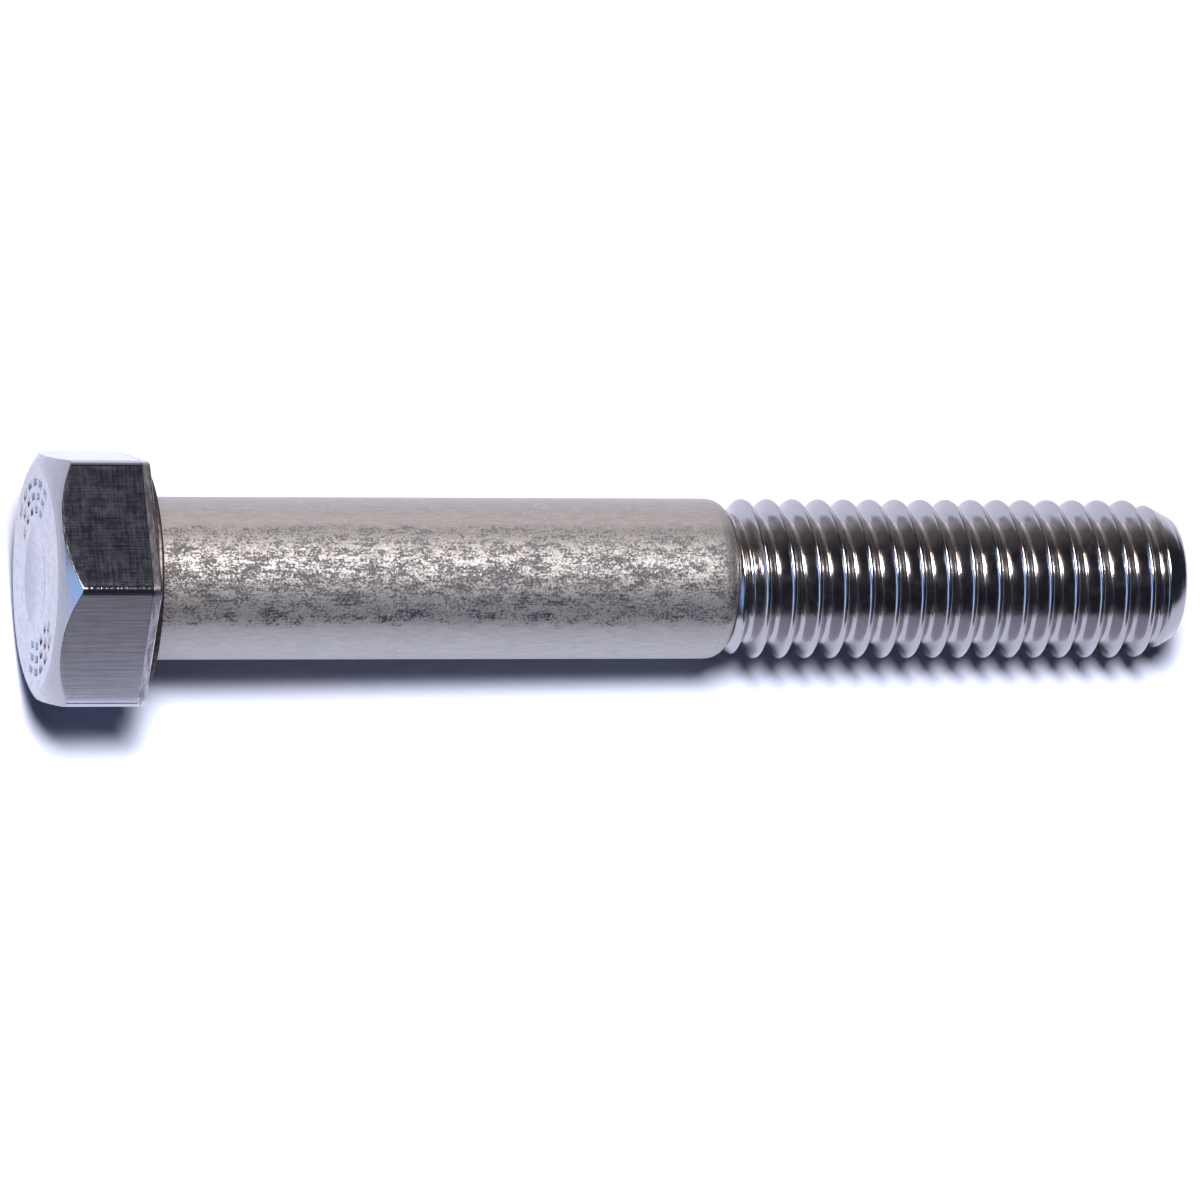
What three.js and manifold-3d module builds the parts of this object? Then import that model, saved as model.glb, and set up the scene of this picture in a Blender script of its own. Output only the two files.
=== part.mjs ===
// Hex bolt, 3/8 inch, 16 threads per inch, 2 1/2 inch class, partially threaded, stainless steel.
// Millimetres. The axis of the bolt is X: head on the -X side, point on the +X side, two wrench
// flats face +Z and -Z. The origin is the centre of the flat end of the point.
// The real bolt is one forged piece. Its four zones are kept as four bodies that meet face to face.
import * as THREE from 'three';
import { mergeVertices } from 'three/addons/utils/BufferGeometryUtils.js';
import Module from 'manifold-3d';

// Overall
const LENGTH_UNDER_HEAD = 63.1;
const BEARING_X = -LENGTH_UNDER_HEAD;

// Head
const ACROSS_FLATS = 14.2;
const HEX_HEIGHT = 5.75;
const WASHER_THICKNESS = 0.4;
const WASHER_RADIUS = 6.75;
const WASHER_EDGE_BREAK = 0.12;
const HEX_BASE_X = BEARING_X - WASHER_THICKNESS;
const HEX_END_X = HEX_BASE_X - HEX_HEIGHT;
const DISH_RADIUS = 3.0;
const DISH_DEPTH = 0.3;
// Crown of the hexagon: [depth below the end face, radius]
const CROWN = [
  [0, 6.45],
  [0.13, 6.8],
  [0.31, 7.1],
  [0.6, 7.5],
  [0.93, 7.9],
  [1.26, 8.25],
  [1.75, 8.7],
];

// Plain dashes pressed into the end face, in arcs. Angles are in degrees from +Y:
// [radius, angle of the first, step to the next, how many, length]
const DASH_WIDTH = 0.38;
const DASH_DEPTH = 0.12;
const DASH_SEGMENTS = 3;
const DASH_ARCS = [
  [5.55, -20, 15, 6, 0.85],
  [4.75, -13, 16, 5, 0.7],
  [3.95, -24, 18, 5, 0.6],
  [5.45, 158, 15, 5, 0.85],
  [4.7, 152, 16, 5, 0.7],
  [3.95, 162, 18, 4, 0.6],
];

// Shank
const SHANK_RADIUS = 4.725;
const FILLET_RADIUS = 0.5;
const THREAD_ZONE = 28.1;
const SHOULDER_X = -THREAD_ZONE;
const NECK_RADIUS = 4.05;
// Rolled shoulder where the shank drops to the thread: [distance before the thread zone, radius]
const SHOULDER = [
  [1.2, SHANK_RADIUS],
  [0.85, 4.7],
  [0.55, 4.62],
  [0.3, 4.48],
  [0.12, 4.29],
  [0, NECK_RADIUS],
];

// Thread, right-handed, 60 degree flanks
const PITCH = 25.4 / 16;
const MAJOR_RADIUS = 4.71;
const MINOR_RADIUS = 3.8;
const CREST_FLAT = 0.2;
const FLANK_ANGLE = THREE.MathUtils.degToRad(30);
const ROOT_OVERLAP = 0.2;
const RUNOUT_LENGTH = 0.8;
const TURN_SEGMENTS = 32;
const FIRST_CREST_X = -26.85;
const FIRST_CREST_TURN = 24.86 / 360;
const RIDGE_FIRST_TURN = -1.5;
const RIDGE_LAST_TURN = 17.625;
// Chamfered point: [distance from the end, radius]
const POINT = [
  [2.6, 4.82],
  [1.34, 4.235],
  [0.96, 4.06],
  [0.6, 3.88],
  [0.22, 3.64],
  [0.06, 3.42],
  [0, 3.26],
];

const ROUND_SEGMENTS = 96;

const wasm = await Module();
wasm.setup();

/** Surface of revolution about X from [x, radius] pairs, listed from low x to high x. */
function turned(profile, segments = ROUND_SEGMENTS) {
  const points = profile.map(([x, radius]) => new THREE.Vector2(radius, x));
  const geometry = new THREE.LatheGeometry(points, segments);
  geometry.rotateZ(-Math.PI / 2);
  return geometry;
}

/** The same closed surface as a manifold solid, without seams or zero-area triangles. */
function toSolid(geometry) {
  const bare = geometry.clone();
  bare.deleteAttribute('normal');
  bare.deleteAttribute('uv');
  const merged = mergeVertices(bare, 1e-5);
  const corners = merged.index.array;
  const kept = [];
  for (let i = 0; i < corners.length; i += 3) {
    const [a, b, c] = [corners[i], corners[i + 1], corners[i + 2]];
    if (a !== b && b !== c && c !== a) {
      kept.push(a, b, c);
    }
  }
  return new wasm.Manifold(new wasm.Mesh({
    numProp: 3,
    vertProperties: new Float32Array(merged.attributes.position.array),
    triVerts: new Uint32Array(kept),
  }));
}

/** A manifold solid as three.js geometry. */
function toGeometry(solid) {
  const mesh = solid.getMesh();
  const geometry = new THREE.BufferGeometry();
  const positions = new Float32Array(mesh.vertProperties);
  geometry.setAttribute('position', new THREE.BufferAttribute(positions, 3));
  geometry.setIndex(new THREE.BufferAttribute(new Uint32Array(mesh.triVerts), 1));
  geometry.computeVertexNormals();
  return geometry;
}

/** A flat outline in the YZ plane, pushed along +X from the given x. */
function extrudedAlongX(shape, x, depth, curveSegments = 6) {
  const geometry = new THREE.ExtrudeGeometry(shape, {
    depth,
    steps: 1,
    bevelEnabled: false,
    curveSegments,
  });
  geometry.rotateX(Math.PI / 2);
  geometry.rotateZ(Math.PI / 2);
  geometry.translate(x, 0, 0);
  return geometry;
}

/** Hexagon outline with two corners on the shape's own X axis, which becomes Y. */
function hexagonOutline(acrossFlats) {
  const radius = acrossFlats / 2 / Math.cos(Math.PI / 6);
  const corners = [];
  for (let i = 0; i < 6; i += 1) {
    const angle = (i * Math.PI) / 3;
    corners.push(new THREE.Vector2(radius * Math.cos(angle), radius * Math.sin(angle)));
  }
  return new THREE.Shape(corners);
}

/** Outline of one dash that follows a circle. */
function dashOutline(radius, middleDegrees, length) {
  const middle = THREE.MathUtils.degToRad(middleDegrees);
  const half = length / 2 / radius;
  const shape = new THREE.Shape();
  shape.absarc(0, 0, radius + DASH_WIDTH / 2, middle - half, middle + half, false);
  shape.absarc(0, 0, radius - DASH_WIDTH / 2, middle + half, middle - half, true);
  shape.closePath();
  return shape;
}

/** Helix about X whose frames point outwards and along the axis, so that an outline stays radial. */
class ThreadHelix extends THREE.Curve {
  turnsAt(t) {
    return THREE.MathUtils.lerp(RIDGE_FIRST_TURN, RIDGE_LAST_TURN, t);
  }

  getPoint(t, target = new THREE.Vector3()) {
    const turns = this.turnsAt(t);
    const angle = 2 * Math.PI * turns;
    const x = FIRST_CREST_X + PITCH * (turns - FIRST_CREST_TURN);
    return target.set(x, MINOR_RADIUS * Math.cos(angle), MINOR_RADIUS * Math.sin(angle));
  }

  computeFrenetFrames(segments) {
    const frames = { tangents: [], normals: [], binormals: [] };
    for (let i = 0; i <= segments; i += 1) {
      const angle = 2 * Math.PI * this.turnsAt(i / segments);
      frames.tangents.push(new THREE.Vector3(0, -Math.sin(angle), Math.cos(angle)));
      frames.normals.push(new THREE.Vector3(0, Math.cos(angle), Math.sin(angle)));
      frames.binormals.push(new THREE.Vector3(-1, 0, 0));
    }
    return frames;
  }
}

function makeHead() {
  const hexagon = extrudedAlongX(hexagonOutline(ACROSS_FLATS), HEX_END_X, HEX_HEIGHT);
  const crown = CROWN.map(([depth, radius]) => [HEX_END_X + depth, radius]);
  const widest = CROWN[CROWN.length - 1][1];
  const envelope = turned([
    [HEX_END_X, 0],
    ...crown,
    [HEX_BASE_X + 1, widest],
    [HEX_BASE_X + 1, 0],
  ]);
  let head = toSolid(hexagon).intersect(toSolid(envelope));

  const bowl = [1, 0.85, 0.65, 0.4, 0.2, 0].map((share) => [
    HEX_END_X + DISH_DEPTH * (1 - share * share),
    DISH_RADIUS * share,
  ]);
  const dish = turned([[HEX_END_X - 1, 0], [HEX_END_X - 1, DISH_RADIUS], ...bowl]);
  head = head.subtract(toSolid(dish));

  for (const [radius, first, step, count, length] of DASH_ARCS) {
    for (let i = 0; i < count; i += 1) {
      const outline = dashOutline(radius, first + i * step, length);
      const cutter = extrudedAlongX(outline, HEX_END_X - 1, 1 + DASH_DEPTH, DASH_SEGMENTS);
      head = head.subtract(toSolid(cutter));
    }
  }
  return toGeometry(head);
}

function makeWasherFace() {
  return turned([
    [HEX_BASE_X, 0],
    [HEX_BASE_X, WASHER_RADIUS],
    [BEARING_X - WASHER_EDGE_BREAK, WASHER_RADIUS],
    [BEARING_X, WASHER_RADIUS - WASHER_EDGE_BREAK],
    [BEARING_X, SHANK_RADIUS + FILLET_RADIUS],
    [BEARING_X, 0],
  ]);
}

function makeShank() {
  const fillet = [];
  for (let i = 0; i <= 5; i += 1) {
    const angle = (i / 5) * (Math.PI / 2);
    fillet.push([
      BEARING_X + FILLET_RADIUS * (1 - Math.cos(angle)),
      SHANK_RADIUS + FILLET_RADIUS * (1 - Math.sin(angle)),
    ]);
  }
  const shoulder = SHOULDER.map(([before, radius]) => [SHOULDER_X - before, radius]);
  return turned([[BEARING_X, 0], ...fillet, ...shoulder, [SHOULDER_X, 0]]);
}

function makeThread() {
  const core = turned([
    [SHOULDER_X, 0],
    [SHOULDER_X, NECK_RADIUS],
    [SHOULDER_X + RUNOUT_LENGTH, MINOR_RADIUS],
    [1, MINOR_RADIUS],
    [1, 0],
  ], TURN_SEGMENTS);

  const depth = MAJOR_RADIUS - MINOR_RADIUS;
  const rootHalf = CREST_FLAT / 2 + (depth + ROOT_OVERLAP) * Math.tan(FLANK_ANGLE);
  const outline = new THREE.Shape([
    new THREE.Vector2(-ROOT_OVERLAP, -rootHalf),
    new THREE.Vector2(depth, -CREST_FLAT / 2),
    new THREE.Vector2(depth, CREST_FLAT / 2),
    new THREE.Vector2(-ROOT_OVERLAP, rootHalf),
  ]);
  const ridge = new THREE.ExtrudeGeometry(outline, {
    steps: Math.round((RIDGE_LAST_TURN - RIDGE_FIRST_TURN) * TURN_SEGMENTS),
    bevelEnabled: false,
    extrudePath: new ThreadHelix(),
  });

  const point = POINT.map(([fromEnd, radius]) => [-fromEnd, radius]);
  const envelope = turned([
    [SHOULDER_X, 0],
    [SHOULDER_X, NECK_RADIUS],
    [SHOULDER_X + 1.25, POINT[0][1]],
    ...point,
    [0, 0],
  ]);
  return toGeometry(toSolid(core).add(toSolid(ridge)).intersect(toSolid(envelope)));
}

/** One named body with its own material. */
function body(name, geometry, color, roughness, metalness) {
  const material = new THREE.MeshStandardMaterial({ color, roughness, metalness });
  const mesh = new THREE.Mesh(geometry, material);
  mesh.name = name;
  return mesh;
}

const bolt = new THREE.Group();
bolt.name = 'hex_bolt';
bolt.add(body('head', makeHead(), 0xa3a4ac, 0.42, 0.95));
bolt.add(body('washer_face', makeWasherFace(), 0xaaabb0, 0.38, 0.95));
bolt.add(body('shank', makeShank(), 0xb2b2b6, 0.45, 0.95));
bolt.add(body('thread', makeThread(), 0xb8b8bd, 0.3, 0.97));

export default bolt;
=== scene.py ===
"""Looks of a stainless steel hex bolt, built around its CAD frame.

Lengths are in millimetres in the row's frame until a mesh is made: the axis is X, the head is on the
-X side, and the origin is the centre of the flat end of the point.
"""

import math

import bmesh
import bpy
import numpy as np
from mathutils import Matrix, Vector


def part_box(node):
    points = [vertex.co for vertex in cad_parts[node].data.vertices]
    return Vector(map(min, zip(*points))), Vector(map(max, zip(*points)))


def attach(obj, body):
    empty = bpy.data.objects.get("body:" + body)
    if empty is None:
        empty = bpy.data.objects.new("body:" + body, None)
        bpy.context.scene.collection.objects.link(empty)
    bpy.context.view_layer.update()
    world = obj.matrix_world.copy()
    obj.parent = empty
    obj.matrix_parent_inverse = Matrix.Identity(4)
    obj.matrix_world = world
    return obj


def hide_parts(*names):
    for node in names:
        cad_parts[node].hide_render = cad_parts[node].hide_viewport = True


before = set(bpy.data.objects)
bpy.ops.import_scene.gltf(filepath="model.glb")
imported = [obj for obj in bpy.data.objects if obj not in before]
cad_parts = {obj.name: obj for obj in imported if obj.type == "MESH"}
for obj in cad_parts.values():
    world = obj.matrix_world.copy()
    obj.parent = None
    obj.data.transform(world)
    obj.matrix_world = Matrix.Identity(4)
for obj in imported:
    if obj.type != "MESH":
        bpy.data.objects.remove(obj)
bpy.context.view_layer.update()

# Metres in a millimetre
MM = 0.001


def box_mm(node):
    """Lowest and highest corner of a CAD node in millimetres."""
    low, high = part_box(node)
    return np.array(low) / MM, np.array(high) / MM


# ---------------------------------------------------------------- sizes from the frame

HEAD_LOW, HEAD_HIGH = box_mm("head")
WASHER_HIGH = box_mm("washer_face")[1]
SHANK_HIGH = box_mm("shank")[1]
THREAD_HIGH = box_mm("thread")[1]

END_X = HEAD_LOW[0]
HEX_BASE_X = HEAD_HIGH[0]
APOTHEM = HEAD_HIGH[2]
BEARING_X = WASHER_HIGH[0]
WASHER_RADIUS = WASHER_HIGH[1]
SHOULDER_X = SHANK_HIGH[0]
TIP_X = THREAD_HIGH[0]
MAJOR_RADIUS = THREAD_HIGH[1]

# Shapes that a box can't give, as in the CAD model
FILLET_RADIUS = 0.5
SHANK_RADIUS = SHANK_HIGH[1] - FILLET_RADIUS
NECK_RADIUS = 4.05
PITCH = 25.4 / 16
MINOR_RADIUS = 3.8
CREST_HALF = 0.1
# A crest of the thread passes here, at that share of a turn from +Y
FIRST_CREST_X = -26.85
FIRST_CREST_TURN = 24.86 / 360
DISH_RADIUS = 3.0
DISH_DEPTH = 0.3
# [depth below the end face, radius]
CROWN = np.array([
    [0, 6.45],
    [0.13, 6.8],
    [0.31, 7.1],
    [0.6, 7.5],
    [0.93, 7.9],
    [1.26, 8.25],
    [1.75, 8.7],
])
# [distance before the thread, radius]
SHOULDER = np.array([
    [1.2, SHANK_RADIUS],
    [0.85, 4.7],
    [0.55, 4.62],
    [0.3, 4.48],
    [0.12, 4.29],
    [0, NECK_RADIUS],
])
# [distance from the end, radius]
POINT = np.array([
    [2.6, 4.82],
    [1.34, 4.235],
    [0.96, 4.06],
    [0.6, 3.88],
    [0.22, 3.64],
    [0.06, 3.42],
    [0, 3.26],
])


# ---------------------------------------------------------------- mesh helpers

# Points closer together than the first become one, and edges shorter than the second go. In metres
MERGE_DISTANCE = 1e-7
SHORTEST_EDGE = 1e-8


def piece(name, vertices, faces, slot, node):
    """A closed, smooth-shaded mesh object that stands for one CAD node."""
    mesh = bpy.data.meshes.new(name)
    mesh.from_pydata((np.asarray(vertices) * MM).tolist(), [], faces)
    work = bmesh.new()
    work.from_mesh(mesh)
    bmesh.ops.remove_doubles(work, verts=work.verts, dist=MERGE_DISTANCE)
    bmesh.ops.dissolve_degenerate(work, edges=work.edges, dist=SHORTEST_EDGE)
    bmesh.ops.recalc_face_normals(work, faces=work.faces)
    for face in work.faces:
        face.smooth = True
    work.to_mesh(mesh)
    work.free()
    obj = bpy.data.objects.new(name, mesh)
    bpy.context.scene.collection.objects.link(obj)
    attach(obj, "root")
    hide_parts(node)
    return obj


def lofted(x, radius, angles):
    """Vertices and quads of rings about X. x and radius have one row per ring, one column per angle."""
    rings, around = x.shape
    y = radius * np.cos(angles)
    z = radius * np.sin(angles)
    vertices = np.stack([x, y, z], axis=-1).reshape(-1, 3)
    faces = []
    for i in range(rings - 1):
        for j in range(around):
            k = (j + 1) % around
            faces.append((i * around + j, i * around + k, (i + 1) * around + k, (i + 1) * around + j))
    return vertices, faces


def turned(profile, around):
    """A surface of revolution from (x, radius) points that start and end on the axis."""
    profile = np.array(profile, float)
    angles = np.linspace(0, 2 * math.pi, around, endpoint=False)
    x = np.repeat(profile[:, :1], around, axis=1)
    radius = np.repeat(profile[:, 1:], around, axis=1)
    return lofted(x, radius, angles)


def smooth_min(a, b, width):
    """The lower of a and b, with the corner between them rounded over that width."""
    near = np.clip(width - np.abs(a - b), 0, None) / width
    return np.minimum(a, b) - near * near * width / 4


def smooth_max(a, b, width):
    """The higher of a and b, with the corner between them rounded over that width."""
    return -smooth_min(-a, -b, width)


def bezier_corner(before, corner, after, steps):
    """Points of the curve that rounds off a corner, from before to after."""
    points = []
    for i in range(steps + 1):
        t = i / steps
        points.append((1 - t) ** 2 * before + 2 * t * (1 - t) * corner + t * t * after)
    return points


# ---------------------------------------------------------------- head

CORNER_SHARPNESS = 60
CROWN_EDGE_ROUND = 0.05
BASE_EDGE_ROUND = 0.1
TRIM_BAND = 0.5
TRIM_LEAN = 0.045

# How finely the head is divided: around, and outwards or along for each of its parts
HEAD_ANGLES = 720
END_FACE_ROWS = 120
CROWN_ROWS = 26
CROWN_EDGE_STEPS = 5
FLAT_ROWS = 20
BAND_ROWS = (0.06, 0.5, 0.97)
BASE_EDGE_STEPS = 6
BASE_ROWS = (0.75, 0.5, 0.25, 0)
# The even rows of the end face stop this short of the crown, where one more row lies
END_FACE_MARGIN = 0.02

DASH_WIDTH = 0.38
DASH_DEPTH = 0.12
DASH_EDGE = 0.1
# Plain dashes in arcs, no lettering. Angles are in degrees from +Y:
# (radius, angle of the first, step to the next, how many, length)
DASH_ARCS = [
    (5.55, -20, 15, 6, 0.85),
    (4.75, -13, 16, 5, 0.7),
    (3.95, -24, 18, 5, 0.6),
    (5.45, 158, 15, 5, 0.85),
    (4.7, 152, 16, 5, 0.7),
    (3.95, 162, 18, 4, 0.6),
]


def hex_radius(angles):
    """Radius of the hexagon, with slightly rounded corners, at each angle from +Y."""
    total = np.zeros_like(angles)
    for k in range(6):
        flat = math.pi / 6 + k * math.pi / 3
        total += np.clip(np.cos(angles - flat), 0, None) ** CORNER_SHARPNESS
    return APOTHEM / total ** (1 / CORNER_SHARPNESS)


def dash_depth(radius, angles):
    """How deep the dashes are pressed in at each angle of the end face, at one radius."""
    depth = np.zeros_like(angles)
    for middle_radius, first, step, count, length in DASH_ARCS:
        across = abs(radius - middle_radius) - DASH_WIDTH / 2
        for i in range(count):
            middle = math.radians(first + i * step)
            turn = (angles - middle + math.pi) % (2 * math.pi) - math.pi
            along = np.abs(turn) * middle_radius - length / 2
            outside = np.maximum(across, along)
            depth = np.maximum(depth, np.clip(0.5 - outside / DASH_EDGE, 0, 1))
    return DASH_DEPTH * depth * depth * (3 - 2 * depth)


def crown_depth(radius):
    """How far below the end face the crown is at that radius."""
    return np.interp(radius, CROWN[:, 1], CROWN[:, 0])


def make_head():
    """Rings from the centre of the end face outwards, along the flats, and back in over the base."""
    angles = np.linspace(0, 2 * math.pi, HEAD_ANGLES, endpoint=False)
    outer = hex_radius(angles)
    crown_start = CROWN[0][1]
    rows_x, rows_r = [], []

    def row(x, radius):
        rows_x.append(np.broadcast_to(x, angles.shape).astype(float))
        rows_r.append(np.broadcast_to(radius, angles.shape).astype(float))

    # End face from the centre outwards, with the dish and the pressed dashes
    for radius in (*np.linspace(0, crown_start - END_FACE_MARGIN, END_FACE_ROWS), crown_start):
        dish = DISH_DEPTH * np.clip(1 - (radius / DISH_RADIUS) ** 2, 0, 1)
        row(END_X + dish + dash_depth(radius, angles), radius)

    # Crown, out to the hexagon's own edge
    edge_depth = crown_depth(outer)
    for share in np.linspace(0, 1, CROWN_ROWS)[1:-1]:
        radius = crown_start + share * (outer - CROWN_EDGE_ROUND - crown_start)
        row(END_X + crown_depth(radius), radius)
    before = np.stack([END_X + crown_depth(outer - CROWN_EDGE_ROUND), outer - CROWN_EDGE_ROUND])
    corner = np.stack([END_X + edge_depth, outer])
    after = np.stack([END_X + edge_depth + CROWN_EDGE_ROUND, outer])
    for x, radius in bezier_corner(before, corner, after, CROWN_EDGE_STEPS):
        row(x, radius)

    # Flats
    flat_start = END_X + edge_depth + CROWN_EDGE_ROUND
    flat_end = HEX_BASE_X - TRIM_BAND
    for share in np.linspace(0, 1, FLAT_ROWS)[1:]:
        row(flat_start + share * (flat_end - flat_start), outer)

    # Band along the bearing edge where the flats lean in a little, then the edge itself
    trimmed = outer - TRIM_LEAN
    band_end = HEX_BASE_X - BASE_EDGE_ROUND
    for share in BAND_ROWS:
        row(flat_end + share * (band_end - flat_end), outer - share * TRIM_LEAN)
    before = np.stack([np.full_like(outer, band_end), trimmed])
    corner = np.stack([np.full_like(outer, HEX_BASE_X), trimmed])
    after = np.stack([np.full_like(outer, HEX_BASE_X), trimmed - BASE_EDGE_ROUND])
    for x, radius in bezier_corner(before, corner, after, BASE_EDGE_STEPS):
        row(x, radius)
    for share in BASE_ROWS:
        row(HEX_BASE_X, (trimmed - BASE_EDGE_ROUND) * share)

    vertices, faces = lofted(np.array(rows_x), np.array(rows_r), angles)
    return piece("bolt_head", vertices, faces, "head_steel", "head")


# ---------------------------------------------------------------- washer face and shank

WASHER_EDGE = 0.12
WASHER_EDGE_POINTS = 6
ROUND_ANGLES = 256
# Radii of the rings that divide the two flat sides of the washer face
HEX_SIDE_RINGS = (0, 3, WASHER_RADIUS)
BEARING_SIDE_RINGS = (6.3, 5.9, 5.5, SHANK_RADIUS + FILLET_RADIUS, 2.5, 0)
FILLET_POINTS = 9
BODY_ROWS = 60
SHOULDER_POINTS = 21


def make_washer_face():
    """The thin round boss under the hexagon, with a rounded rim on its bearing side."""
    rim = [
        (BEARING_X - WASHER_EDGE * (1 - math.sin(a)), WASHER_RADIUS - WASHER_EDGE * (1 - math.cos(a)))
        for a in np.linspace(0, math.pi / 2, WASHER_EDGE_POINTS)
    ]
    hex_side = [(HEX_BASE_X, r) for r in HEX_SIDE_RINGS]
    bearing_side = [(BEARING_X, r) for r in BEARING_SIDE_RINGS]
    profile = [*hex_side, *rim, *bearing_side]
    return piece("washer_boss", *turned(profile, ROUND_ANGLES), "washer_steel", "washer_face")


def make_shank():
    """The plain body, from the fillet under the head to the shoulder at the thread."""
    fillet = [
        (BEARING_X + FILLET_RADIUS * (1 - math.cos(a)), SHANK_RADIUS + FILLET_RADIUS * (1 - math.sin(a)))
        for a in np.linspace(0, math.pi / 2, FILLET_POINTS)
    ]
    shoulder_x = SHOULDER_X - SHOULDER[:, 0]
    body_x = np.linspace(fillet[-1][0], shoulder_x[0], BODY_ROWS)[1:-1]
    body = [(x, SHANK_RADIUS) for x in body_x]
    corners = np.arange(len(SHOULDER))
    places = np.linspace(0, corners[-1], SHOULDER_POINTS)
    shoulder = zip(np.interp(places, corners, shoulder_x), np.interp(places, corners, SHOULDER[:, 1]))
    profile = [(BEARING_X, 0), *fillet, *body, *shoulder, (SHOULDER_X, 0)]
    return piece("plain_shank", *turned(profile, ROUND_ANGLES), "shank_steel", "shank")


# ---------------------------------------------------------------- thread

THREAD_ANGLES = 144
# Places across one pitch, as shares of it from the crest: closer together where the profile turns
PROFILE_STEPS = [
    0, 0.035, 0.065, 0.095, 0.14, 0.21, 0.29, 0.36, 0.405, 0.44, 0.47,
    0.5, 0.53, 0.56, 0.595, 0.64, 0.71, 0.79, 0.86, 0.905, 0.935, 0.965,
]
FLANK_SLOPE = math.tan(math.radians(60))
# Widths over which two surfaces blend into each other
CREST_ROUND = 0.14
ROOT_ROUND = 0.3
RUNOUT_ROUND = 0.1
LIMIT_ROUND = 0.08
# Along the axis: where the root has sunk from the neck, where the crests are at full height, and
# where the rim of the point curves in
RUNOUT = 0.8
CREST_RISE = 1.25
TIP_ROUND_FROM = 0.1
# The limit stays this far clear of the full crests
CREST_CLEARANCE = 0.1
# Where the limit is below this radius, at the two ends, the surface follows it exactly
END_RADIUS = MINOR_RADIUS - 0.3


def thread_radius(x, turns):
    """Radius of the endless thread at x, where the helix has made that many turns."""
    along = x - FIRST_CREST_X - PITCH * (turns - FIRST_CREST_TURN)
    from_crest = np.abs((along + PITCH / 2) % PITCH - PITCH / 2)
    flank = MAJOR_RADIUS - (from_crest - CREST_HALF) * FLANK_SLOPE
    return smooth_max(smooth_min(flank, MAJOR_RADIUS, CREST_ROUND), MINOR_RADIUS, ROOT_ROUND)


def envelope(s):
    """x and largest radius along a path from the axis at the shoulder, out, along, and back at the end."""
    point_x = TIP_X - POINT[:, 0]
    rim_x = TIP_X - TIP_ROUND_FROM
    rim_radius = np.interp(rim_x, point_x, POINT[:, 1])
    end_radius = POINT[-1][1]
    rim_length = math.hypot(TIP_ROUND_FROM, rim_radius - end_radius)
    path = [
        (SHOULDER_X - NECK_RADIUS, SHOULDER_X, 0),
        (SHOULDER_X, SHOULDER_X, NECK_RADIUS),
        (SHOULDER_X + CREST_RISE, SHOULDER_X + CREST_RISE, MAJOR_RADIUS + CREST_CLEARANCE),
    ]
    path += [(x, x, radius) for x, radius in zip(point_x, POINT[:, 1]) if x < rim_x]
    path += [
        (rim_x, rim_x, rim_radius),
        (rim_x + rim_length, TIP_X, end_radius),
        (rim_x + rim_length + end_radius, TIP_X, 0),
    ]
    path = np.array(path)
    return np.interp(s, path[:, 0], path[:, 1]), np.interp(s, path[:, 0], path[:, 2])


def make_thread():
    """One helical grid, held within the envelope, which closes on the axis at both ends."""
    per_pitch = len(PROFILE_STEPS)
    first = math.floor((SHOULDER_X - NECK_RADIUS - FIRST_CREST_X) / PITCH) - 2
    last = math.ceil((TIP_X + MAJOR_RADIUS - FIRST_CREST_X) / PITCH) + 1
    steps = np.array([k + share for k in range(first, last) for share in PROFILE_STEPS])
    turns = np.arange(THREAD_ANGLES) / THREAD_ANGLES
    s = FIRST_CREST_X + PITCH * (steps[:, None] + turns[None, :] - FIRST_CREST_TURN)
    x, limit = envelope(s)
    root = np.interp(x, [SHOULDER_X, SHOULDER_X + RUNOUT], [NECK_RADIUS, MINOR_RADIUS])
    wanted = smooth_max(thread_radius(x, turns[None, :]), root, RUNOUT_ROUND)
    radius = np.where(limit < END_RADIUS, limit, smooth_min(wanted, limit, LIMIT_ROUND))
    angle = 2 * math.pi * turns[None, :]
    vertices = np.stack([x, radius * np.cos(angle), radius * np.sin(angle)], axis=-1).reshape(-1, 3)

    rows = len(steps)
    faces = []
    for i in range(rows - 1):
        for j in range(THREAD_ANGLES):
            # Once round, the grid meets itself one pitch further on
            shift = per_pitch if j == THREAD_ANGLES - 1 else 0
            k = (j + 1) % THREAD_ANGLES
            low = min(i + shift, rows - 1)
            high = min(i + shift + 1, rows - 1)
            corners = (i * THREAD_ANGLES + j, low * THREAD_ANGLES + k,
                       high * THREAD_ANGLES + k, (i + 1) * THREAD_ANGLES + j)
            if len(set(corners)) > 2:
                faces.append(tuple(dict.fromkeys(corners)))
    return piece("rolled_thread", vertices, faces, "thread_steel", "thread")


# ---------------------------------------------------------------- materials

# How ragged the edges of the pitted bands are: how far the noise moves them, where their fade begins
# beyond the limit, and where it ends
BAND_RAGGED = 0.3
BAND_FADE_FROM = 0.02
BAND_FADE_TO = 0.34


def add_node(tree, kind, **settings):
    """A new node with those properties."""
    made = tree.nodes.new(kind)
    for key, value in settings.items():
        setattr(made, key, value)
    return made


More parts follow.
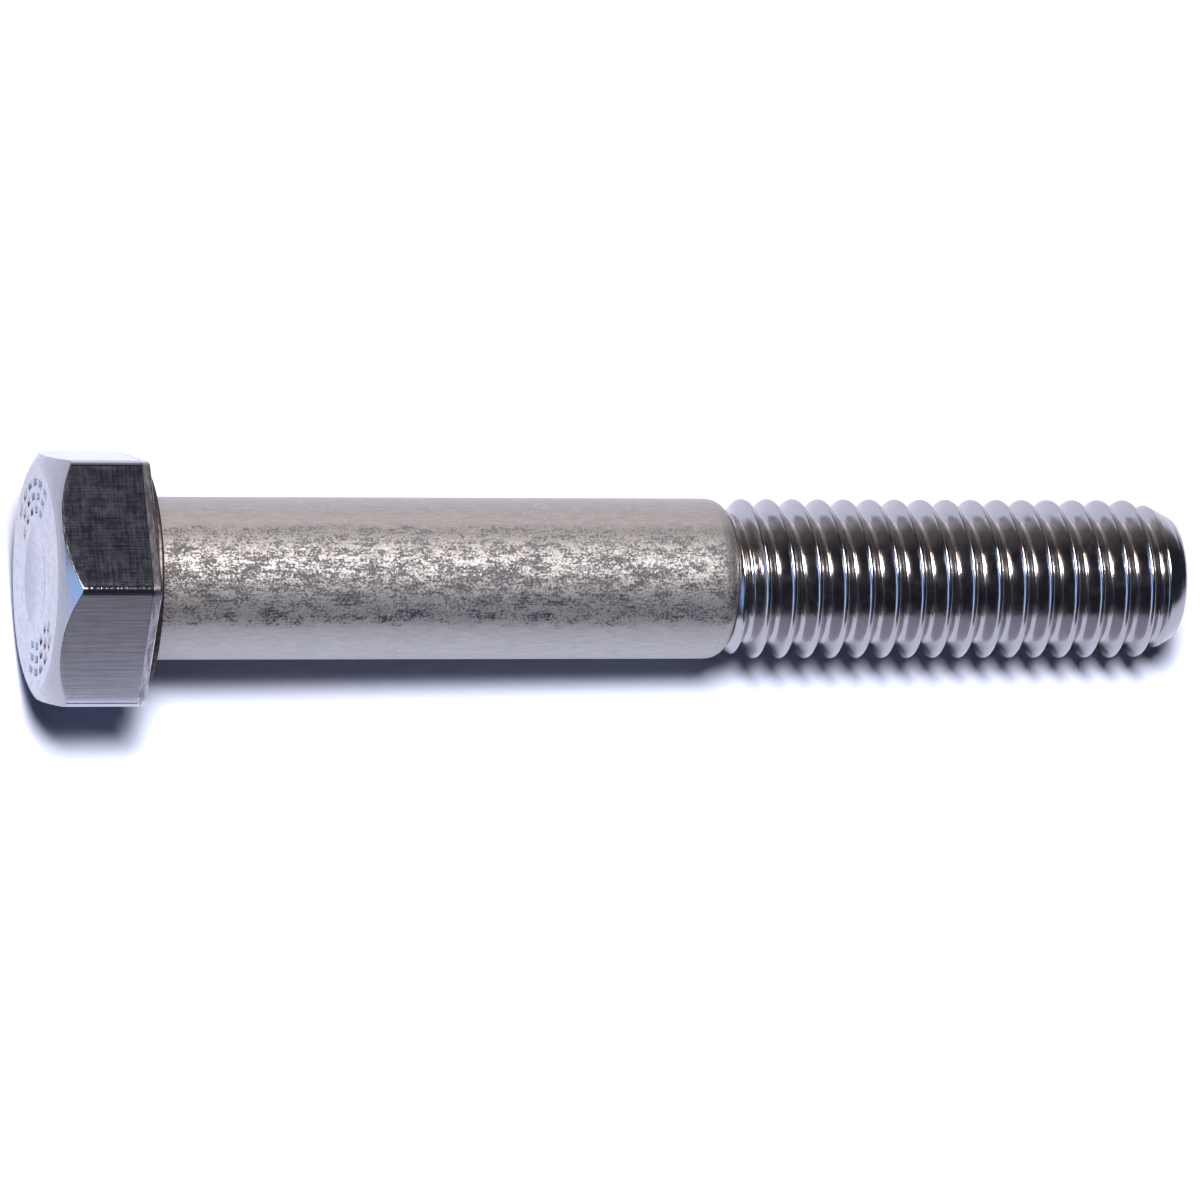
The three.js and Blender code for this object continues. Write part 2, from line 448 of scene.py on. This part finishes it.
class Shader:
    """A node material with one metallic Principled shader and a few helpers."""

    def __init__(self, name, color, roughness):
        self.material = bpy.data.materials.new(name)
        self.material.use_nodes = True
        self.tree = self.material.node_tree
        self.shader = self.tree.nodes["Principled BSDF"]
        self.shader.inputs["Base Color"].default_value = (*color, 1)
        self.shader.inputs["Metallic"].default_value = 1
        self.shader.inputs["Roughness"].default_value = roughness
        self.place = self.node("ShaderNodeTexCoord").outputs["Object"]

    def node(self, kind, **settings):
        return add_node(self.tree, kind, **settings)

    def link(self, source, target):
        self.tree.links.new(source, target)

    def feed(self, value, target):
        """Sets a socket to a number or a colour, or links another socket to it."""
        if isinstance(value, (int, float)):
            target.default_value = value
        elif isinstance(value, tuple):
            target.default_value = (*value, 1)
        else:
            self.link(value, target)

    def color(self, source):
        self.link(source, self.shader.inputs["Base Color"])

    def roughness(self, source):
        self.link(source, self.shader.inputs["Roughness"])

    def stretched(self, per_mm, turn=(0, 0, 0)):
        """Object coordinates in millimetres, turned, then times a factor for each axis."""
        mapping = self.node("ShaderNodeMapping", vector_type="TEXTURE")
        self.link(self.place, mapping.inputs["Vector"])
        mapping.inputs["Rotation"].default_value = turn
        mapping.inputs["Scale"].default_value = tuple(MM / f for f in per_mm)
        return mapping.outputs["Vector"]

    def noise(self, per_mm, detail=2, roughness=0.5, turn=(0, 0, 0)):
        """Noise about 0.5, with that many features in a millimetre along each axis."""
        made = self.node("ShaderNodeTexNoise")
        self.link(self.stretched(per_mm, turn), made.inputs["Vector"])
        made.inputs["Scale"].default_value = 1
        made.inputs["Detail"].default_value = detail
        made.inputs["Roughness"].default_value = roughness
        return made.outputs["Fac"]

    def remap(self, value, low, high, to_low=0, to_high=1):
        """A smooth step from to_low to to_high as the value goes from low to high."""
        made = self.node("ShaderNodeMapRange", interpolation_type="SMOOTHSTEP")
        self.link(value, made.inputs["Value"])
        made.inputs["From Min"].default_value = low
        made.inputs["From Max"].default_value = high
        made.inputs["To Min"].default_value = to_low
        made.inputs["To Max"].default_value = to_high
        return made.outputs["Result"]

    def math(self, operation, a, b=0):
        """A math node on numbers or sockets. Operations on one value leave b alone."""
        made = self.node("ShaderNodeMath", operation=operation)
        self.feed(a, made.inputs[0])
        self.feed(b, made.inputs[1])
        return made.outputs["Value"]

    def weighted_sum(self, *terms):
        """The sum of (socket, weight) pairs."""
        total = 0
        for socket, weight in terms:
            total = self.math("ADD", total, self.math("MULTIPLY", socket, weight))
        return total

    def mix(self, factor, a, b):
        """From a to b as the factor goes from 0 to 1. Both are colours or sockets."""
        made = self.node("ShaderNodeMix", data_type="RGBA")
        self.link(factor, made.inputs["Factor"])
        self.feed(a, made.inputs["A"])
        self.feed(b, made.inputs["B"])
        return made.outputs["Result"]

    def bands_along_axis(self, middle, half, edge):
        """Two opposite bands along X about an angle from +Y, with edges moved by a noise.

        Gives 0 inside the bands, rising to 1 outside, and how far towards the higher angle a place
        in a band is, from 0 to 1.
        """
        apart = self.node("ShaderNodeSeparateXYZ")
        self.link(self.place, apart.inputs["Vector"])
        angle = self.math("ARCTAN2", apart.outputs["Z"], apart.outputs["Y"])
        turn = self.math("TANGENT", self.math("SUBTRACT", angle, math.radians(middle)))
        limit = math.tan(math.radians(half))
        moved = self.weighted_sum((self.math("ABSOLUTE", turn), 1), (edge, BAND_RAGGED))
        outside = self.remap(moved, limit + BAND_FADE_FROM, limit + BAND_FADE_TO)
        return outside, self.remap(turn, -limit, limit)

    def bump(self, height, depth_mm, below=None):
        """Adds a bump whose height runs from 0 to depth_mm, on top of an earlier one."""
        made = self.node("ShaderNodeBump")
        self.link(height, made.inputs["Height"])
        made.inputs["Strength"].default_value = 1
        made.inputs["Distance"].default_value = depth_mm * MM
        if below is not None:
            self.link(below, made.inputs["Normal"])
        self.link(made.outputs["Normal"], self.shader.inputs["Normal"])
        return made.outputs["Normal"]


# Pitted bands of the shank: angle of the middle from +Y, and half the width, in degrees
PITTED_MIDDLE = 112
PITTED_HALF = 41


def shank_steel():
    """Matte, with two pitted bands along the shank, opposite each other. Pits are more common towards one
    side of a band; their colour is painted, lighter towards the side that catches the lamp's highlight and
    darker towards the other, as painted highlight and shade.
    """
    steel = Shader("shank_steel", (0.52, 0.51, 0.51), 0.6)
    grit = steel.noise((6, 9, 9), detail=2, roughness=0.6)
    pits = steel.noise((6.5, 7.5, 7.5), detail=4, roughness=0.85)
    streaks = steel.noise((1.1, 9, 9), detail=3, roughness=0.7)
    clumps = steel.noise((0.9, 1.5, 1.5), detail=3, roughness=0.7)
    scratches = steel.noise((0.35, 6, 6), detail=1, turn=(0.5, 0.6, 0.9))
    ragged = steel.math("ADD", clumps, pits)
    outside, denser_and_shaded = steel.bands_along_axis(PITTED_MIDDLE, PITTED_HALF, ragged)
    inside = steel.math("SUBTRACT", 1, outside)
    # 0 in a pit, 1 on the whole surface
    whole = steel.weighted_sum((pits, 0.5), (streaks, 0.2), (clumps, 0.3), (denser_and_shaded, -0.05), (outside, 0.16))
    whole = steel.remap(whole, 0.37, 0.51)

    plain = steel.mix(steel.remap(streaks, 0.3, 0.7), (0.48, 0.47, 0.47), (0.56, 0.55, 0.55))
    rubbed = steel.mix(steel.remap(pits, 0.4, 0.62), (0.35, 0.345, 0.35), (0.43, 0.425, 0.43))
    surface = steel.mix(inside, plain, rubbed)
    surface = steel.mix(steel.remap(scratches, 0.66, 0.74, 0, 0.22), surface, (0.75, 0.74, 0.74))
    # Pit colour is painted highlight and shade: lighter towards the lamp-lit side of a band, darker towards
    # the other
    pit = steel.mix(denser_and_shaded, (0.25, 0.24, 0.25), (0.07, 0.07, 0.085))
    steel.color(steel.mix(whole, pit, surface))

    gloss = steel.remap(pits, 0.52, 0.68, 0, -0.13)
    steel.roughness(steel.math("ADD", 0.62, steel.math("MULTIPLY", inside, gloss)))
    normal = steel.bump(grit, 0.012)
    steel.bump(whole, 0.018, normal)
    return steel.material


def thread_steel():
    """Burnished by the rolling dies, with faint marks around the thread."""
    steel = Shader("thread_steel", (0.455, 0.445, 0.46), 0.2)
    marks = steel.noise((1.3, 1.3, 1.3), detail=3, roughness=0.5)
    rolled = steel.noise((9, 0.6, 0.6), detail=3, roughness=0.6)
    steel.roughness(steel.remap(marks, 0.35, 0.7, 0.16, 0.25))
    normal = steel.bump(rolled, 0.009)
    steel.bump(marks, 0.008, normal)
    return steel.material


def flat_steel(name, dark, light, crossed):
    """Trimmed: shaded by lines along the axis, and on a crossed flat by lines across and blotches too."""
    steel = Shader(name, light, 0.18)
    lines = steel.noise((0.25, 11, 11), detail=3, roughness=0.6)
    cross = steel.noise((10, 0.5, 0.5), detail=3, roughness=0.6)
    blotches = steel.noise((1.6, 1.6, 1.6), detail=5, roughness=0.8)
    steel.roughness(steel.remap(blotches, 0.3, 0.7, 0.17, 0.2))
    normal = steel.bump(lines, 0.0011)
    steel.bump(cross, 0.004, normal)
    if crossed:
        weave = steel.math("ADD", steel.math("ADD", lines, cross), blotches)
        middle, spread = 1.5, 0.32
    else:
        weave = lines
        middle, spread = 0.5, 0.22
    steel.color(steel.mix(steel.remap(weave, middle - spread, middle + spread), dark, light))
    return steel.material


def corner_steel():
    """The burnished edge between two flats, with small dents that sparkle."""
    steel = Shader("corner_steel", (0.5, 0.51, 0.55), 0.12)
    dents = steel.noise((6, 1, 1), detail=3, roughness=0.7)
    steel.roughness(steel.remap(dents, 0.35, 0.65, 0.09, 0.16))
    steel.bump(dents, 0.01)
    return steel.material


def edge_painted_reflection():
    """A dark line painted along a flat beside each corner, a painted reflection of something dark there."""
    steel = Shader("edge_painted_reflection", (0.16, 0.16, 0.19), 0.18)
    dents = steel.noise((6, 1, 1), detail=3, roughness=0.7)
    # Painted reflection: a dark line along the flat's edge, for the dark the corner reflects
    steel.color(steel.mix(steel.remap(dents, 0.35, 0.65), (0.07, 0.07, 0.09), (0.17, 0.17, 0.2)))
    return steel.material


def trimmed_steel():
    """The base of the hexagon and the band along its edge, torn rather than cut."""
    steel = Shader("trimmed_steel", (0.48, 0.47, 0.48), 0.3)
    grain = steel.noise((3.0, 3.0, 3.0), detail=4, roughness=0.7)
    tears = steel.noise((4.0, 1.2, 1.2), detail=4, roughness=0.7)
    steel.color(steel.mix(steel.remap(tears, 0.38, 0.6), (0.38, 0.38, 0.41), (0.7, 0.69, 0.72)))
    steel.bump(grain, 0.02)
    return steel.material


def crown_steel():
    """The pressed end face and crown."""
    steel = Shader("crown_steel", (0.42, 0.425, 0.45), 0.25)
    grain = steel.noise((2.0, 2.0, 2.0), detail=3)
    steel.roughness(steel.remap(grain, 0.3, 0.7, 0.18, 0.3))
    steel.bump(grain, 0.006)
    return steel.material


def washer_steel():
    """The pressed bearing face, a little brighter where it is smoother."""
    steel = Shader("washer_steel", (0.46, 0.45, 0.46), 0.32)
    grain = steel.noise((3.0, 3.0, 3.0), detail=4, roughness=0.7)
    steel.color(steel.mix(steel.remap(grain, 0.35, 0.65), (0.4, 0.39, 0.4), (0.5, 0.49, 0.5)))
    steel.roughness(steel.remap(grain, 0.35, 0.65, 0.38, 0.28))
    steel.bump(grain, 0.008)
    return steel.material


def rim_painted_shade():
    """The rim of the washer face, painted dark as shade in the gap between the head and the shank."""
    steel = Shader("rim_painted_shade", (0.11, 0.1, 0.1), 0.5)
    grain = steel.noise((3.0, 3.0, 3.0), detail=3)
    # Painted shade: the rim is near black for the shade in the gap under the head
    steel.color(steel.mix(steel.remap(grain, 0.35, 0.65), (0.08, 0.07, 0.07), (0.14, 0.125, 0.125)))
    steel.bump(grain, 0.006)
    return steel.material


# ---------------------------------------------------------------- finishes on the pieces

# Places in the head's list of materials
PRESSED, LINED, CROSSED, TRIMMED, CORNER, PAINTED_EDGE = range(6)
# Degrees away from a flat's own direction where its painted dark edge line, a painted reflection, and the
# finish of the corner start
EDGE_FROM = 3.5
CORNER_FROM = 8
# A face belongs to the sides of the hexagon when the axial part of its normal is less than this
SIDE_NORMAL = 0.1
# The Z part of the normal that a face of the two crossed flats has at least
CROSSED_NORMAL = 0.9
# The axial part of the normal that a face of the bearing side has at least
BEARING_NORMAL = 0.9
# Places in the washer face's list of materials: its own finish, and the painted shade of the rim
FACE, SHADED_RIM = range(2)


def paint(obj, *materials):
    for material in materials:
        obj.data.materials.append(material)


def side_finish(normal):
    """Flats facing +Z and -Z are crossed and the others lined. Corners have their own finish, and the flats
    beside them a painted dark reflection.
    """
    turn = math.degrees(math.atan2(normal.z, normal.y)) % 60
    from_flat = abs(turn - 30)
    if from_flat > CORNER_FROM:
        return CORNER
    if from_flat > EDGE_FROM:
        return PAINTED_EDGE
    return CROSSED if abs(normal.z) > CROSSED_NORMAL else LINED


def paint_head(head):
    """The flats, the band at their end and the base are trimmed, and the rest is pressed."""
    lined = flat_steel("lined_flat", (0.44, 0.46, 0.5), (0.57, 0.6, 0.655), crossed=False)
    crossed = flat_steel("crossed_flat", (0.22, 0.25, 0.29), (0.58, 0.62, 0.7), crossed=True)
    paint(head, crown_steel(), lined, crossed, trimmed_steel(), corner_steel(), edge_painted_reflection())
    band_start = (HEX_BASE_X - TRIM_BAND) * MM
    for face in head.data.polygons:
        if abs(face.normal.x) < SIDE_NORMAL:
            face.material_index = side_finish(face.normal)
        elif face.normal.x > SIDE_NORMAL and face.center.x > band_start:
            face.material_index = TRIMMED
        else:
            face.material_index = PRESSED


def paint_washer_face(boss):
    """The rim, and the hidden side against the hexagon, get the painted shade of the gap under the head."""
    paint(boss, washer_steel(), rim_painted_shade())
    for face in boss.data.polygons:
        face.material_index = FACE if face.normal.x >= BEARING_NORMAL else SHADED_RIM


# ---------------------------------------------------------------- stage

# The two places where the bolt touches the floor: the bearing edge of a flat, and a crest
REST_X = HEX_BASE_X
REST_Z = -APOTHEM
POINT_REST_X = -2.35
POINT_REST_Z = -MAJOR_RADIUS
FLOOR_GAP = 0.02
# How far the floor reaches each way from the bearing edge of the hexagon
FLOOR_IN_FRONT = 70
FLOOR_BEHIND = 400
FLOOR_BEYOND_HEAD = 300
FLOOR_BEYOND_POINT = 130
FLOOR_COLOR = (0.62, 0.66, 0.8)
FLOOR_ROUGHNESS = 0.9


def make_floor():
    """The bolt lies on the edge of a flat and on the last full crest, so the floor slopes slightly."""
    slope = (POINT_REST_Z - REST_Z) / (POINT_REST_X - REST_X)
    across = Vector((0, 1, 0))
    along = Vector((1, 0, slope)).normalized()
    centre = Vector((REST_X, 0, REST_Z - FLOOR_GAP))
    reach = ((-FLOOR_BEYOND_HEAD, -FLOOR_IN_FRONT), (FLOOR_BEYOND_POINT, -FLOOR_IN_FRONT),
             (FLOOR_BEYOND_POINT, FLOOR_BEHIND), (-FLOOR_BEYOND_HEAD, FLOOR_BEHIND))
    corners = [centre + along * a + across * b for a, b in reach]
    mesh = bpy.data.meshes.new("floor")
    mesh.from_pydata([tuple(c * MM) for c in corners], [], [(0, 1, 2, 3)])
    floor = bpy.data.objects.new("floor", mesh)
    bpy.context.scene.collection.objects.link(floor)
    material = bpy.data.materials.new("floor")
    material.use_nodes = True
    shader = material.node_tree.nodes["Principled BSDF"]
    shader.inputs["Base Color"].default_value = (*FLOOR_COLOR, 1)
    shader.inputs["Roughness"].default_value = FLOOR_ROUGHNESS
    shader.inputs["Specular IOR Level"].default_value = 0
    mesh.materials.append(material)


def area_light(name, direction, distance, width, height, power, color):
    """A soft box that faces the bolt's middle from that direction."""
    light = bpy.data.lights.new(name, "AREA")
    light.shape = "RECTANGLE"
    light.size = width * MM
    light.size_y = height * MM
    light.energy = power
    light.color = color
    obj = bpy.data.objects.new(name, light)
    bpy.context.scene.collection.objects.link(obj)
    middle = Vector(((END_X + TIP_X) / 2 * MM, 0, 0))
    towards = Vector(direction).normalized()
    obj.location = middle + towards * distance * MM
    obj.rotation_euler = (-towards).to_track_quat("-Z", "X").to_euler()


def sky_direction(elevation, sideways=0):
    """Unit vector at that angle in the YZ plane, from -Y over the top to +Y, leaning towards +X."""
    e = math.radians(elevation)
    s = math.radians(sideways)
    return (math.sin(s), -math.cos(e) * math.cos(s), math.sin(e) * math.cos(s))


def make_lights():
    """A small hot lamp overhead, a weaker spill around it, and a warm glow behind it."""
    area_light("core", sky_direction(84.5, -9), 600, 130, 175, 5.2, (1, 0.97, 0.94))
    area_light("spill", sky_direction(85, -9), 620, 160, 240, 1.0, (1, 0.95, 0.9))
    area_light("glow", sky_direction(101, -9), 610, 120, 110, 0.8, (1, 0.8, 0.66))


FRONT = sky_direction(0)
BEHIND = sky_direction(180)
WINDOW = (-0.93, -0.3, 0.15)


def make_world():
    """A dim room, brighter towards the horizon behind, with a bluish window low on the head's side.

    Diffuse rays get none of the room's light, so the floor's shadows stay dark. The camera itself
    sees plain white.
    """
    world = bpy.data.worlds.new("room")
    bpy.context.scene.world = world
    world.use_nodes = True
    tree = world.node_tree
    tree.nodes.clear()

    def background(color, strength):
        made = add_node(tree, "ShaderNodeBackground")
        made.inputs["Color"].default_value = (*color, 1)
        made.inputs["Strength"].default_value = strength
        return made.outputs["Background"]

    def blend(factor, a, b):
        made = add_node(tree, "ShaderNodeMixShader")
        tree.links.new(factor, made.inputs["Fac"])
        tree.links.new(a, made.inputs[1])
        tree.links.new(b, made.inputs[2])
        return made.outputs["Shader"]

    def share(direction, start, full):
        """0 to 1 as a ray turns towards a direction; start and full are cosines."""
        dot = add_node(tree, "ShaderNodeVectorMath", operation="DOT_PRODUCT")
        tree.links.new(add_node(tree, "ShaderNodeTexCoord").outputs["Generated"], dot.inputs[0])
        dot.inputs[1].default_value = direction
        ramp = add_node(tree, "ShaderNodeMapRange", interpolation_type="SMOOTHSTEP")
        tree.links.new(dot.outputs["Value"], ramp.inputs["Value"])
        ramp.inputs["From Min"].default_value = start
        ramp.inputs["From Max"].default_value = full
        return ramp.outputs["Result"]

    room = background((0.66, 0.7, 1.0), 0.075)
    room = blend(share(BEHIND, 0.36, 0.97), room, background((0.95, 0.84, 0.8), 0.65))
    room = blend(share(BEHIND, 0.88, 1.0), room, background((0.92, 0.88, 0.97), 1.6))
    room = blend(share(FRONT, 0.93, 0.98), room, background((0.85, 0.76, 0.85), 0.45))
    room = blend(share(WINDOW, 0.8, 0.93), room, background((0.4, 0.62, 1.0), 1.9))
    rays = add_node(tree, "ShaderNodeLightPath")
    room = blend(rays.outputs["Is Diffuse Ray"], room, background((0, 0, 0), 0))
    room = blend(rays.outputs["Is Camera Ray"], room, background((1, 1, 1), 1.2))
    output = add_node(tree, "ShaderNodeOutputWorld")
    tree.links.new(room, output.inputs["Surface"])


# ---------------------------------------------------------------- camera

# Degrees above the horizontal, and degrees towards the head's side
CAMERA_ELEVATION = 65.14
CAMERA_YAW = 15.61
# Millimetres from the middle of the hexagon's base: back from it, to the right, and up
CAMERA_DISTANCE = 469.2
CAMERA_RIGHT = 27.03
CAMERA_UP = -1.267
SENSOR = 36
LENS = 243.354
# Metres
CLIP_START = 0.01
CLIP_END = 20
CONTRAST_GAMMA = 0.8


def make_camera():
    """Looks from above the -Y side and a little from the head's side, with the axis level."""
    e, yaw = math.radians(CAMERA_ELEVATION), math.radians(CAMERA_YAW)
    facing = Vector((0, -math.cos(e), math.sin(e)))
    up = Vector((0, math.sin(e), math.cos(e)))
    right = Vector((math.cos(yaw), 0, 0)) + facing * math.sin(yaw)
    back = Vector((-math.sin(yaw), 0, 0)) + facing * math.cos(yaw)
    hex_base = Vector((HEX_BASE_X, 0, 0))
    place = hex_base + back * CAMERA_DISTANCE + right * CAMERA_RIGHT + up * CAMERA_UP
    data = bpy.data.cameras.new("camera")
    data.sensor_width = SENSOR
    data.lens = LENS
    data.clip_start = CLIP_START
    data.clip_end = CLIP_END
    camera = bpy.data.objects.new("camera", data)
    bpy.context.scene.collection.objects.link(camera)
    axes = Matrix((right, up, back)).transposed().to_4x4()
    camera.matrix_world = Matrix.Translation(place * MM) @ axes
    bpy.context.scene.camera = camera


def set_view():
    """The plain view transform, with the middle tones darkened."""
    view = bpy.context.scene.view_settings
    view.view_transform = "Standard"
    view.look = "None"
    view.gamma = CONTRAST_GAMMA


# ---------------------------------------------------------------- build

paint_head(make_head())
paint_washer_face(make_washer_face())
paint(make_shank(), shank_steel())
paint(make_thread(), thread_steel())
make_floor()
make_lights()
make_world()
make_camera()
set_view()
